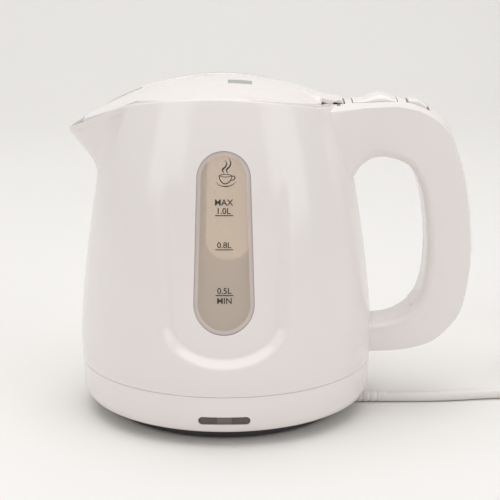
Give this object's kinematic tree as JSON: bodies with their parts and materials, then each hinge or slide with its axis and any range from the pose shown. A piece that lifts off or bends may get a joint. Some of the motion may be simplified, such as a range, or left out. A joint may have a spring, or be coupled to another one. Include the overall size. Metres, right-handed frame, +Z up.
{
  "type": "electric kettle",
  "caption": "Small cordless white electric kettle: round jug with short spout, D handle, hinged lid, tall water windows and a lift-off power base with its mains lead.",
  "frame": {"origin": "on the jug's upright axis, on the surface the base stands on", "axes": "+Z up, +X towards the handle, -X towards the spout, -Y towards the pilot lamp side"},
  "size_m": [0.3128, 0.2102, 0.1613],
  "materials": {
    "white_shell": "moulded, glossy",
    "white_inner": "moulded, satin",
    "clear_window": "clear moulded, slightly smoked",
    "smoked_lens": "smoked, polished",
    "lamp": "clear",
    "steel_sheet": "brushed",
    "aluminium_cast": "as cast",
    "brass": "stamped",
    "silicone": "moulded silicone",
    "foot_rubber": "moulded",
    "base_plastic": "moulded, fine texture",
    "control_plastic": "glass filled, dark",
    "cord_jacket": "extruded, satin",
    "grey_inlay": "glossy",
    "wire_steel": "drawn wire"
  },
  "bodies": {
    "base": {"base_top": "base_plastic", "base_plate": "base_plastic", "foot_ring": "foot_rubber", "base_screws": "wire_steel", "base_terminals": "brass", "strain_relief": "cord_jacket", "cord_tube": "cord_jacket", "cord_coil": "cord_jacket", "cord_tail": "cord_jacket", "cord_tie": "cord_jacket", "plug_body": "cord_jacket", "plug_pins": "brass"},
    "post": {"contact_post": "control_plastic", "contact_rings": "brass"},
    "jug": {"jug_body": "white_shell", "spout_shell": "white_shell", "handle_shell": "white_shell", "grip_cover": "white_shell", "front_window": "clear_window", "rear_window": "clear_window", "bottom_cover": "white_shell", "lamp_lens": "smoked_lens", "pilot_lamp": "lamp", "cover_screws": "wire_steel", "heater_plate": "steel_sheet", "heater_seal": "silicone", "heat_spreader": "aluminium_cast", "heating_element": "aluminium_cast", "element_terminals": "brass", "jug_socket": "control_plastic", "socket_contacts": "brass", "bimetal_discs": "wire_steel", "steam_tube": "silicone", "switch_frame": "control_plastic", "rocker_pin": "wire_steel", "steam_bimetal": "wire_steel", "switch_contacts": "brass", "switch_leads": "silicone", "filter_frame": "white_inner", "filter_mesh": "steel_sheet", "hinge_pin": "wire_steel", "button_spring": "wire_steel"},
    "lid": {"lid_cover": "white_shell", "lid_badge": "grey_inlay", "lid_liner": "white_inner", "lid_seal": "silicone"},
    "button": {"release_button": "white_shell"},
    "rocker": {"power_rocker": "white_shell"}
  },
  "joints": [
    {"name": "base_swivel", "type": "hinge", "parent": "base", "child": "post", "pos_m": [0, 0, 0], "axis": [0, 0, 1], "continuous": true},
    {"name": "jug_lift", "type": "slide", "parent": "post", "child": "jug", "axis": [0, 0, 1], "range_m": [0, 0.08]},
    {"name": "lid_hinge", "type": "hinge", "parent": "jug", "child": "lid", "pos_m": [0.054, 0, 0.1496], "axis": [0, 1, 0], "range_deg": [0, 75]},
    {"name": "lid_release", "type": "slide", "parent": "jug", "child": "button", "axis": [0, 0, -1], "range_m": [0, 0.0025], "stiffness_N_per_m": 400, "springref_m": -0.002, "deforming": ["button_spring"]},
    {"name": "power_switch", "type": "hinge", "parent": "jug", "child": "rocker", "pos_m": [0.092, 0, 0.1434], "axis": [0, 1, 0], "range_deg": [0, 10]}
  ]
}
